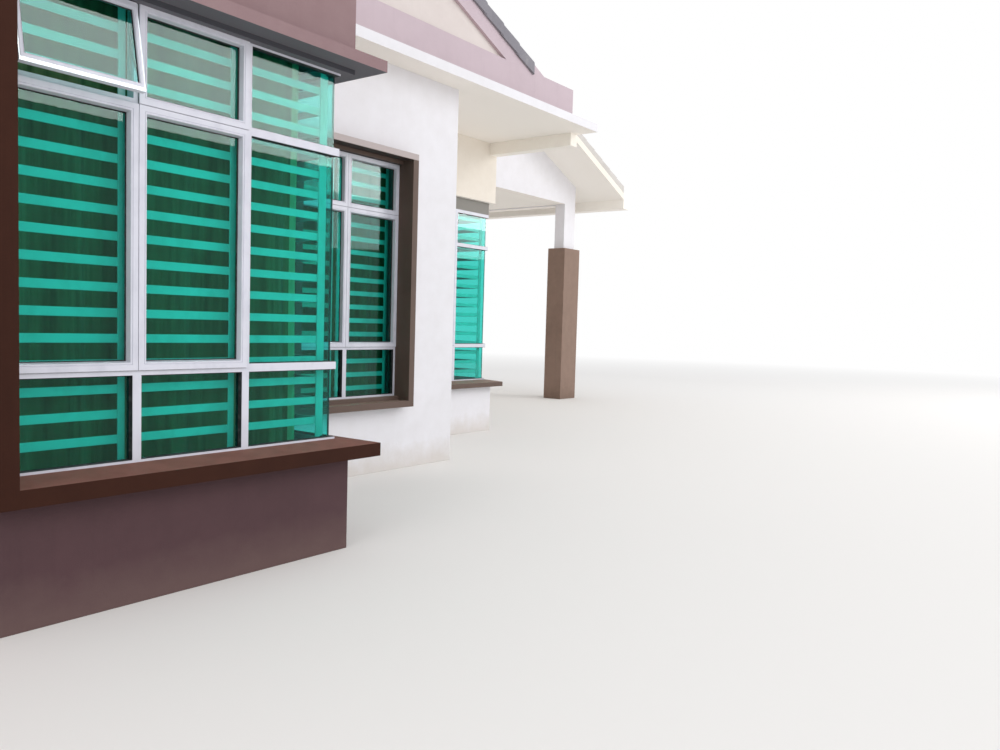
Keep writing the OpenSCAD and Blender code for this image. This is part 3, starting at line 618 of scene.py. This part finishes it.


# Windows: gaskets, sash rings, black strips in the gaps round the sashes and black linings on the bars' sides
# behind the glass, both painted shade, set in and on the bars, in metres from the wall face and the corner. The
# fixed lights' gaskets are widened over the bars' sides in front of the glass, partly painted shade. The plain
# windows' head is given where their top sashes count from, below the lip over the bar
windowLook = {"glass": 0.090, "pane": 0.674, "bar": 0.048, "edge": 0.043, "foot": 0.698, "lower": 1.210,
              "upper": 2.580, "bayOneHead": 3.108, "bayThreeHead": 3.050, "shortColumns": 2,
              "plainFoot": 0.727, "plainLower": 1.250, "plainHead": 3.107, "plainHalf": 0.713}
plainPlaces = [(6.937, 1.860, 0), (2.600, 10.950, 180), (8.310, 10.950, 180), (0.0, 3.560, -90),
               (10.910, 9.250, 90)]  # the middle wall's first
# Fixed lights: a black gasket widened to line the bars' whole side in front of the glass, partly painted shade
gasketAndShadeLining = [[-0.0002, 0.0655], [0.0018, 0.0650], [0.0045, 0.0860], [0.0060, 0.0898], [-0.0002, 0.0898]]
# Behind the glass: a black lining on the bars' sides, painted shade
backShadeLining = [[-0.0002, 0.0962], [0.0060, 0.0962], [0.0045, 0.1000], [0.0018, 0.1220], [-0.0002, 0.1220]]
sashOutline = [[-0.0225, 0.0632], [-0.0225, 0.0515], [-0.0210, 0.0500], [0.0065, 0.0500], [0.0078, 0.0532],
               [0.0110, 0.0532], [0.0122, 0.0500], [0.0175, 0.0500], [0.0195, 0.0520], [0.0262, 0.0835],
               [0.0262, 0.0890], [0.0010, 0.0890], [0.0010, 0.0632]]
sashGasket = [[0.0240, 0.0825], [0.0290, 0.0840], [0.0320, 0.0898], [0.0240, 0.0898]]
# A black strip in the gap round each sash: painted shade
shadowGapStrip = [[-0.0242, 0.0634], [-0.0242, 0.0590], [-0.0215, 0.0590], [-0.0215, 0.0634]]
cornerSeal = [[0.0903, 0.0962], [0.1030, 0.0962], [0.0990, 0.0990], [0.0962, 0.1030], [0.0962, 0.0978],
              [0.0903, 0.0978]]


def lightsOf(columns, rows):
    # The clear openings between bars: columns and rows are given by the bars' middles
    half = windowLook["bar"] / 2
    spans = [(a + half, b - half) for a, b in zip(columns[:-1], columns[1:])]
    heights = [(a + half, b - half) for a, b in zip(rows[:-1], rows[1:])]
    return [(*span, *level, column, row) for column, span in enumerate(spans)
            for row, level in enumerate(heights)]


def dressWindow(name, planes, sashed, skipped=(), cornered=False):
    # planes: each a wall plane with the middles of its upright and level bars
    rubber, sashes = [], []
    for number, (plane, columns, rows) in enumerate(planes):
        for s0, s1, z0, z1, column, row in lightsOf(columns, rows):
            if (number, column, row) in skipped:
                continue
            opened = (number, column, row) in sashed
            if opened:
                sashes.append(ringAround(plane, s0, s1, z0, z1, sashOutline))
            # Sashes take a gasket, the painted-shade gap strip and back lining; fixed lights the widened gasket
            # and back lining
            for outline in (sashGasket, shadowGapStrip, backShadeLining) if opened else (gasketAndShadeLining, backShadeLining):
                rubber.append(channelAround(plane, s1, z0, z1, outline) if cornered and column == 0
                              else ringAround(plane, s0, s1, z0, z1, outline))
            if cornered and (number, column) == (0, 0):
                seal = carried(cornerSeal, [[0, 0, z0], [0, 0, z1]], [1, 0, 0], [0, 1, 0])
                rubber.append(onPlane(plane, seal))
    makePiece(name + "Gaskets", joined(rubber), gasketRubber)
    if sashes:
        makePiece(name + "Sashes", joined(sashes), whiteAluminium, "white_aluminium")


def barRows(foot, lower, head, look=windowLook):
    # Middles of the level bars; the narrower ones at foot and head count from their inner edge
    inset = look["edge"] - look["bar"] / 2
    return [foot + inset, lower, look["upper"], head - inset]


def cornerPlanes(plinthNode, head, longColumns, look=windowLook):
    low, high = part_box(plinthNode)
    rows = barRows(look["foot"], look["lower"], head)
    glass, pane, half = look["glass"], look["pane"], look["bar"] / 2
    long, short = ([glass - half, *(glass + pane * k for k in range(1, count)), glass + pane * count - half]
                   for count in (longColumns, look["shortColumns"]))
    return [(wallPlane(high.x, low.y, (-1, 0), (0, 1)), long, rows),
            (wallPlane(high.x, low.y, (0, 1), (-1, 0)), short, rows)]


def plainPlane(x, y, turn, look=windowLook):
    c, s = round(math.cos(math.radians(turn))), round(math.sin(math.radians(turn)))
    end = look["plainHalf"] - look["edge"] + look["bar"] / 2
    rows = barRows(look["plainFoot"], look["plainLower"], look["plainHead"])
    return planPlane(x, y, (c, s), (-s, c)), [-end, 0.0, end], rows


bayOnePlanes = cornerPlanes("bay_one_plinth", windowLook["bayOneHead"], 3)
bayThreePlanes = cornerPlanes("bay_three_plinth", windowLook["bayThreeHead"], 2)
plainPlanes = [plainPlane(*place) for place in plainPlaces]
middlePlanes, otherPlanes = plainPlanes[:1], plainPlanes[1:]
plainSashes = {(k, column, row) for k in range(4) for column in (0, 1) for row in (1, 2)}
dressWindow("bayOneWindow", bayOnePlanes, {(0, 1, 1), (0, 2, 1), (0, 1, 2), (1, 1, 1)}, {(0, 2, 2)}, True)
dressWindow("bayThreeWindow", bayThreePlanes, {(0, 1, 1), (1, 1, 1)}, (), True)
dressWindow("middleWindow", middlePlanes, plainSashes)
dressWindow("otherWindows", otherPlanes, plainSashes)
print("windows dressed")

# Grilles: one panel of flat bars behind each column, between two flat uprights. The corner windows' panels
# are fixed to the frame's bars and share a wider upright at the glass corner; the plain windows' stand further in
grilleLook = {"bar": 0.0465, "thick": 0.006, "post": 0.038, "cornerPost": 0.060,
              "long": 0.100, "short": 0.150,
              "corner": {"depth": 0.150, "pitch": 0.1320, "level": 2.300, "low": 0.720},
              "plain": {"depth": 0.215, "pitch": 0.1342, "level": 2.3135, "low": 0.745, "high": 3.110},
              "plainEnds": [(-0.700, -0.040), (0.010, 0.700)], "bayOneHigh": 3.100, "bayThreeHigh": 3.045}


def grille(plane, panels, high, kind, look=grilleLook):
    # The bars' heights keep one spacing; a panel is its two ends along the wall and its uprights' widths
    row, thick = look[kind], look["thick"]
    d, low = row["depth"], row["low"]
    first = math.ceil((low + 0.03 - row["level"]) / row["pitch"])
    last = math.floor((high - 0.03 - row["level"]) / row["pitch"])
    z = row["level"] + row["pitch"] * np.arange(first, last + 1)
    lows, highs = [], []
    for s0, s1, post0, post1 in panels:
        lows.append(np.stack([np.full_like(z, s0), np.full_like(z, d), z - look["bar"] / 2], -1))
        highs.append(np.stack([np.full_like(z, s1), np.full_like(z, d + thick), z + look["bar"] / 2], -1))
        for a, b in ((s0, s0 + post0), (s1 - post1, s1)):
            if b > a:
                lows.append([[a, d - 1.5 * thick, low]])
                highs.append([[b, d, high]])
    return onPlane(plane, blocks(np.concatenate(lows), np.concatenate(highs), 0.0015))


def cornerGrilles(planes, high, columns, look=grilleLook):
    post, half, pane = look["post"], windowLook["bar"] / 2, windowLook["pane"]
    first = windowLook["glass"] + pane
    beside = [(first + half + pane * k, first - half + pane * (k + 1), post, post) for k in range(2)]
    long = [(look["long"], first - half, look["cornerPost"], post)] + beside[:columns - 1]
    short = [(look["short"], first - half, 0.0, post)] + beside[:1]
    return joined([grille(planes[0][0], long, high, "corner"), grille(planes[1][0], short, high, "corner")])


def plainGrilles(planes, look=grilleLook):
    panels = [(*ends, look["post"], look["post"]) for ends in look["plainEnds"]]
    return joined([grille(row[0], panels, look["plain"]["high"], "plain") for row in planes])


grilles = {"bayOneGrille": cornerGrilles(bayOnePlanes, grilleLook["bayOneHigh"], 3),
           "bayThreeGrille": cornerGrilles(bayThreePlanes, grilleLook["bayThreeHigh"], 2),
           "middleGrille": plainGrilles(middlePlanes), "otherGrilles": plainGrilles(otherPlanes)}
for name, shape in grilles.items():
    makePiece(name, shape, whiteSteel, "white_aluminium")
print("grilles behind the glass")


# Curtains: s along the rod, folds in depth that deepen downwards. The flat width is the length of the folds
curtainLooks = {
    "bayOne": {"s0": 0.229, "s1": 2.10, "depth": 0.265, "top": 3.190, "bottom": 0.30, "folds": 6,
               "swing": 0.034, "rod0": 0.21, "rod1": 2.14, "rodHeight": 3.200},
    "middle": {"s0": -0.82, "s1": 0.82, "depth": 0.31, "top": 3.250, "bottom": 0.45, "folds": 6,
               "swing": 0.032, "rod0": -0.85, "rod1": 0.85, "rodHeight": 3.260},
}


def curtain(name, plane, look):
    # Depth: a wave of folds, and a smaller one three times as close, both growing downwards
    folds, swing, top, bottom = look["folds"], look["swing"], look["top"], look["bottom"]
    columns, rows = folds * 14 + 1, 22
    along, down = np.meshgrid(np.linspace(0, 1, columns), np.linspace(0, 1, rows))
    phase = 2 * math.pi * folds * along + 0.5 * np.sin(7.0 * along + 1.0)
    s = look["s0"] + (look["s1"] - look["s0"]) * (along + 0.006 * np.sin(5.0 * down + 9.0 * along) * down)
    wide = swing * (0.55 + 0.45 * down) * np.sin(phase)
    close = 0.2 * swing * (0.3 + 0.7 * down) * np.sin(3.0 * phase + 2.0 * down)
    local = np.stack([s, look["depth"] + wide + close, top + (bottom - top) * down], -1)
    width = float(np.linalg.norm(np.diff(local[rows // 2], axis=0), axis=1).sum())
    points = placed(plane, local[..., 0:1], local[..., 1:2], local[..., 2:3]).reshape(-1, 3)
    piece = makePiece(name, (points, [gridFaces(rows, columns)]), curtainCloth, sharp=180)
    coords = np.stack([along * width, down * (top - bottom)], -1).reshape(-1, 2)
    numbers = np.empty(len(piece.data.loops), dtype=np.int32)
    piece.data.loops.foreach_get("vertex_index", numbers)
    cloth = piece.data.uv_layers.new(name="cloth").data
    cloth.foreach_set("uv", coords[numbers].astype(np.float32).ravel())
    thick = piece.modifiers.new("thickness", "SOLIDIFY")
    thick.thickness, thick.offset = 0.0012, 0.0


def curtainRod(name, plane, look):
    # A round rod with turned ends, and a bracket at each end that reaches back to the wall
    s0, s1, depth, height = look["rod0"], look["rod1"], look["depth"], look["rodHeight"]
    knob = np.array([0.05, 0.045, 0.03, 0.012, 0.01])
    radius = np.array([0.006, 0.018, 0.022, 0.018, 0.0125])
    along = np.concatenate([s0 - knob, s1 + knob[::-1]])
    centres = np.stack([along, np.full_like(along, depth), np.full_like(along, height)], -1)
    sizes = np.concatenate([radius, radius[::-1]])
    rod = onPlane(plane, carried(circleOf(16), centres, [0, 1, 0], [0, 0, 1], scales=sizes))
    starts = (s0, s1 - 0.02)
    arms = blocks([[s, 0.149, height - 0.012] for s in starts],
                  [[s + 0.02, depth, height + 0.012] for s in starts])
    makePiece(name, joined([rod, onPlane(plane, arms)]), whiteSteel, "white_aluminium")


for name, planes in {"bayOne": bayOnePlanes, "middle": middlePlanes}.items():
    curtainRod(name + "Rod", planes[0][0], curtainLooks[name])
    curtain(name + "Curtain", planes[0][0], curtainLooks[name])
print("curtains hung")

# The open light: a moulding and gaskets on its leaf, and two stays that hold it out
openLook = {"x": 3.136, "y": 0.063, "width": 0.602, "height": 0.461, "top": 3.065, "tip": math.radians(11),
            "stile": 0.024, "rail": 0.038, "drop": 0.40, "stay": 0.008}
lightWall = planPlane(openLook["x"], openLook["y"], (1, 0), (0, 1))
leafPlane = planPlane(openLook["x"], openLook["y"], (1, 0), (0, 1), openLook["top"], openLook["tip"])
leafSides = (openLook["stile"], openLook["width"] - openLook["stile"],
             openLook["rail"] - openLook["height"], -openLook["rail"])
mouldOutline = [[-0.0180, -0.0295], [-0.0170, -0.0325], [-0.0075, -0.0325], [-0.0060, -0.0305],
                [-0.0030, -0.0305], [-0.0010, -0.0325], [0.0005, -0.0315], [0.0035, -0.0186],
                [-0.0005, -0.0186], [-0.0005, -0.0295]]
leafGaskets = [[[0.0010, -0.0225], [0.0055, -0.0215], [0.0075, -0.0182], [0.0010, -0.0182]],
               [[0.0002, -0.0118], [0.0060, -0.0118], [0.0045, -0.0090], [0.0002, -0.0020]]]
mould = ringAround(leafPlane, *leafSides, mouldOutline)
makePiece("openLightMould", mould, whiteAluminium, "white_aluminium")
leafRubber = [ringAround(leafPlane, *leafSides, outline) for outline in leafGaskets]
makePiece("openLightGaskets", joined(leafRubber), gasketRubber)


def lightStay(side, look=openLook):
    # A flat arm from a rail in the frame's side to a shoe on the leaf's, with a rounded head at each end
    s = 0.004 if side < 0 else look["width"] - 0.007
    drop, top, r = look["drop"], look["top"], look["stay"]
    low = np.array([-drop * math.sin(look["tip"]) + 0.004, top - drop * math.cos(look["tip"])])
    high = np.array([0.030, top - 0.20])
    run = (high - low) / np.linalg.norm(high - low)
    turn = np.linspace(-math.pi / 2, math.pi / 2, 7)[:, None]
    head = r * np.cos(turn) * run - r * np.sin(turn) * [run[1], -run[0]]
    outline = np.concatenate([low - head, high + head])
    arm = carried(outline, [[s, 0, 0], [s + 0.003, 0, 0]], [0, 1, 0], [0, 0, 1])
    rail = blocks([[s - 0.001, 0.020, top - 0.42]], [[s + 0.004, 0.038, top - 0.03]], 0.001)
    shoe = blocks([[s - 0.001, -0.002, -0.43]], [[s + 0.004, 0.010, -0.30]], 0.001)
    return joined([onPlane(lightWall, joined([arm, rail])), onPlane(leafPlane, shoe)])


makePiece("openLightStays", joined([lightStay(-1), lightStay(1)]), doorMetal, "white_aluminium")
print("open light fitted")


# Doors: a leaf is a front and a back surface over one grid, raised where its panels are
doorLook = {"deep": 0.012, "groove": 0.006, "slope": 0.030, "back": 0.003, "rail": 0.12, "thick": 0.045,
            "face": 0.063, "lining": 0.064, "gap": 0.0015, "meeting": 0.04,
            "rows": [(0.20, 0.78), (0.92, 1.52), (1.66, None)]}
handleLook = {"height": 0.86, "bar": 0.009, "bend": 0.018, "out": 0.032, "length": 0.11}


def panelledLeaf(s0, s1, z0, z1, panels, look=doorLook):
    # Depth at a point: sunk in a groove round each panel, rising again to nearly the leaf's face over slope
    groove, face = look["groove"], look["face"]
    steps = [0, groove, 2 * groove, 2 * groove + look["slope"]]

    def linesOf(low, high, k):
        return sorted({low, high} | {p[k] + step for p in panels for step in steps}
                      | {p[k + 1] - step for p in panels for step in steps})
    along, height = np.meshgrid(linesOf(s0, s1, 0), linesOf(z0, z1, 2), indexing="ij")
    sunk = np.zeros_like(along)
    for p in panels:
        inside = np.minimum(np.minimum(along - p[0], p[1] - along), np.minimum(height - p[2], p[3] - height))
        depth = np.interp(inside, steps, [0, look["deep"], look["deep"], look["back"]])
        sunk = np.maximum(sunk, np.where(inside > 0, depth, 0))
    front = np.stack([along, face + sunk, height], -1).reshape(-1, 3)
    back = np.stack([along, face + look["thick"] - sunk, height], -1).reshape(-1, 3)
    rows, columns = along.shape
    number = np.arange(rows * columns).reshape(rows, columns)
    rim = np.concatenate([number[0, :-1], number[:-1, -1], number[-1, :0:-1], number[:0:-1, 0]])
    ahead = np.roll(rim, -1)
    sides = np.stack([rim, ahead, ahead + rows * columns, rim + rows * columns], -1)
    quads = gridFaces(rows, columns)
    faces = np.concatenate([quads[:, ::-1], quads + rows * columns, sides])
    return outward((np.concatenate([front, back]), [faces]))


def leafPanels(s0, s1, z0, z1, look=doorLook):
    # Two columns of three panels between the stiles, rails and the lock rail
    middle, rail, half = (s0 + s1) / 2, look["rail"], look["meeting"]
    heights = [(z0 + low, z0 + high if high else z1 - rail) for low, high in look["rows"]]
    columns = ((s0 + rail, middle - half), (middle + half, s1 - rail))
    return [(*column, *level) for column in columns for level in heights]


def leverHandle(s, d, side, z, look=handleLook):
    # A back plate, and a round bar bent out of it and along the leaf
    r, out = look["bend"], look["out"]
    turn = np.linspace(0, math.pi / 2, 7)
    curve = np.stack([r * (1 - np.cos(turn)), out + r * np.sin(turn), 0 * turn], -1)
    path = np.concatenate([[[0, 0, 0]], curve, [[look["length"], out + r, 0]]])
    flow = np.gradient(path, axis=0)
    flow /= np.linalg.norm(flow, axis=1)[:, None]
    sides = np.stack([flow[:, 1], -flow[:, 0], flow[:, 2]], -1)
    bar = carried(look["bar"] * circleOf(14), path, sides, [0, 0, 1])
    plate = blocks([[-0.022, -0.001, -0.10]], [[0.022, 0.007, 0.10]], 0.003)
    points, tables = joined([bar, plate])
    points = np.stack([s - points[:, 0], d + side * points[:, 1], z + points[:, 2]], -1)
    return outward((points, tables))


def doorOf(name, node, plane, width, leaves, look=doorLook):
    low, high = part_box(node)
    half, gap = width / 2 - look["lining"], look["gap"]
    edges = np.linspace(-half, half, leaves + 1)
    shapes = []
    for k in range(leaves):
        leaf = (edges[k] + (gap if k else 0), edges[k + 1] - (gap if k < leaves - 1 else 0), low.z, high.z)
        shapes.append(panelledLeaf(*leaf, leafPanels(*leaf)))
    makePiece(name, onPlane(plane, joined(shapes)), doorWood, "door_wood", [node], sharp=12)
    lock = edges[1] - (0.07 if leaves > 1 else 0.075)
    handles = [leverHandle(lock, d, side, low.z + handleLook["height"])
               for side, d in ((-1, look["face"]), (1, look["face"] + look["thick"]))]
    makePiece(name + "Handle", onPlane(plane, joined(handles)), doorMetal, "white_aluminium")


frontLow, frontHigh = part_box("front_door")
frontMiddle = (frontLow.y + frontHigh.y) / 2 - planCorner[1]
doorOf("frontDoor", "front_door", plainPlane(10.910, frontMiddle, 90)[0], 1.800, 2)
doorOf("rearDoor", "rear_door", plainPlane(0.0, 9.250, -90)[0], 0.900, 1)
print("doors panelled")


# Floor, light and camera. Rays from the camera, off gloss and through glass see the white background
stageLook = {"colour": "#ebe8e3", "near": 17.0, "far": 34.0, "size": 90.0, "corners": 64, "drop": 0.001}
seenKinds = ("Camera", "Glossy", "Transmission")


def stageMaterial(name, look):
    # A plain pale floor that turns into the white background far from the house
    material, tree = newMaterial(name)
    floor = surfaceFrom(tree, colour=linear(look["colour"]), rough=0.9, gloss=0.1)
    where = addNode(tree, "ShaderNodeTexCoord").outputs["Object"]
    reach = addNode(tree, "ShaderNodeVectorMath", {0: where}, operation="LENGTH").outputs["Value"]
    white = addNode(tree, "ShaderNodeEmission", {"Color": (1, 1, 1, 1), "Strength": 1.0}).outputs[0]
    factor = calc(tree, "MULTIPLY", rayIs(tree, *seenKinds), spread(tree, reach, look["near"], look["far"]))
    return finished(material, mixShaders(tree, factor, floor, white))


def makeStage(look):
    mesh = bpy.data.meshes.new("stageFloor")
    count = look["corners"]
    points = np.column_stack([look["size"] * circleOf(count), np.full(count, -look["drop"])])
    mesh.from_pydata(points.tolist(), [], [list(range(count))])
    floor = newObject("stageFloor", mesh)
    mesh.materials.append(stageMaterial("paleFloor", look))


makeStage(stageLook)

lightLook = {"world": (0.93, 0.95, 1.0, 1.0), "strength": 0.95, "lamps": [
    {"name": "softFront", "place": (-4, -20, 13), "aim": (0.5, -2.0, 1.5), "size": 12.0, "power": 520.0},
    {"name": "softSide", "place": (17, -18, 9), "aim": (3.0, -1.0, 1.5), "size": 10.0, "power": 1450.0},
    {"name": "softRear", "place": (-20, -9, 7), "aim": (3.0, -1.0, 2.5), "size": 10.0, "power": 700.0},
]}
paneLampLook = {"low": (-12.0, -22.0, 6.35), "high": (32.0, -22.0, 22.0), "power": 37000.0,
                "colour": (0.84, 1.0, 0.95),
                "panes": ["bay_one_glass", "bay_three_glass", "plain_window_glass", "open_sash"]}


def makeWorld(look):
    world = bpy.data.worlds.new("softWorld")
    bpy.context.scene.world = world
    world.use_nodes = True
    tree = world.node_tree
    tree.nodes.clear()
    soft, white = (addNode(tree, "ShaderNodeBackground", {"Color": tone, "Strength": strength}).outputs[0]
                   for tone, strength in ((look["world"], look["strength"]), ((1, 1, 1, 1), 1.0)))
    mixed = mixShaders(tree, rayIs(tree, *seenKinds), soft, white)
    addNode(tree, "ShaderNodeOutputWorld", {"Surface": mixed})


def addLamp(name, place, direction, power):
    lamp = bpy.data.lights.new(name, "AREA")
    lamp.energy = power
    holder = newObject(name, lamp)
    holder.location = place
    holder.rotation_euler = direction.to_track_quat("-Z", "Y").to_euler()
    return lamp, holder


def makePaneLamp(look):
    # A lamp high in front of the house that lights only the panes' gloss
    low, high = Vector(look["low"]), Vector(look["high"])
    lamp, holder = addLamp("paneLamp", (low + high) / 2, Vector((0, 1, 0)), look["power"])
    lamp.shape, lamp.size, lamp.size_y = "RECTANGLE", high.x - low.x, high.z - low.z
    lamp.color = look["colour"]
    holder.visible_camera = holder.visible_diffuse = holder.visible_transmission = False
    panes = bpy.data.collections.new("panes")
    for node in look["panes"]:
        panes.objects.link(frame["nodes"][node])
    holder.light_linking.receiver_collection = panes


makeWorld(lightLook)
for row in lightLook["lamps"]:
    lamp, holder = addLamp(row["name"], row["place"], Vector(row["aim"]) - Vector(row["place"]), row["power"])
    lamp.size = row["size"]
makePaneLamp(paneLampLook)

cameraLook = {"place": (-7.1565, -9.8025, 1.5), "heading": -53.4294, "down": 3.3826, "roll": 1.6543,
              "lens": 30.112, "sensor": 36.0, "reach": 300.0}


def makeCamera(look):
    # Turned about the upright, then tipped down, then rolled about its own line of sight
    camera = newObject("houseCamera", bpy.data.cameras.new("houseCamera"))
    camera.data.lens, camera.data.sensor_width = look["lens"], look["sensor"]
    camera.data.clip_end = look["reach"]
    camera.matrix_world = Matrix.Translation(look["place"])
    for angle, axis in ((look["heading"], "Z"), (90 - look["down"], "X"), (look["roll"], "Z")):
        camera.matrix_world = camera.matrix_world @ Matrix.Rotation(math.radians(angle), 4, axis)
    bpy.context.scene.camera = camera


makeCamera(cameraLook)
bpy.context.scene.view_settings.view_transform = "Standard"
print("floor, light and camera placed")
